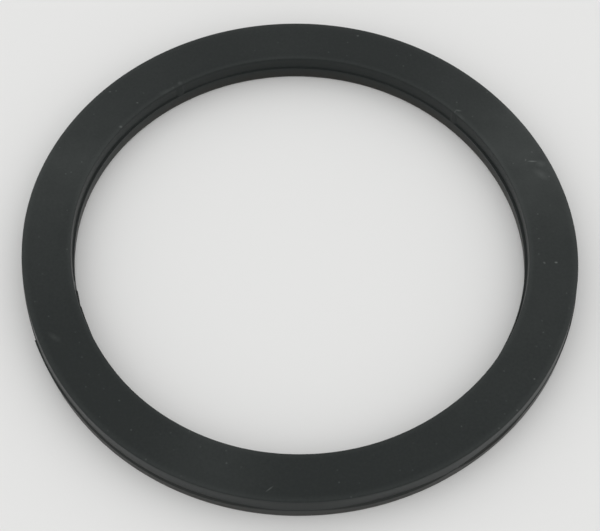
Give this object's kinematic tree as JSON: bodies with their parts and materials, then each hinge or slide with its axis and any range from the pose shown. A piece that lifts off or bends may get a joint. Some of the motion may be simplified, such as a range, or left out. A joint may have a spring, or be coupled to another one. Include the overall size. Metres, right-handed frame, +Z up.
{
  "type": "flat gasket",
  "caption": "Flat black rubber ring with a near-rectangular section and a fine parting groove round each wall. It seals the face joint inside a quick hose coupling.",
  "frame": {"origin": "centre of the ring on the flat face that it rests on", "axes": "+Z up along the ring's axis, +X to the right and +Y away from the viewer"},
  "size_m": [0.1242, 0.1242, 0.007],
  "materials": {
    "rubber": "matte moulded black nitrile rubber"
  },
  "bodies": {
    "root": {"gasket_ring": "rubber"}
  },
  "joints": []
}
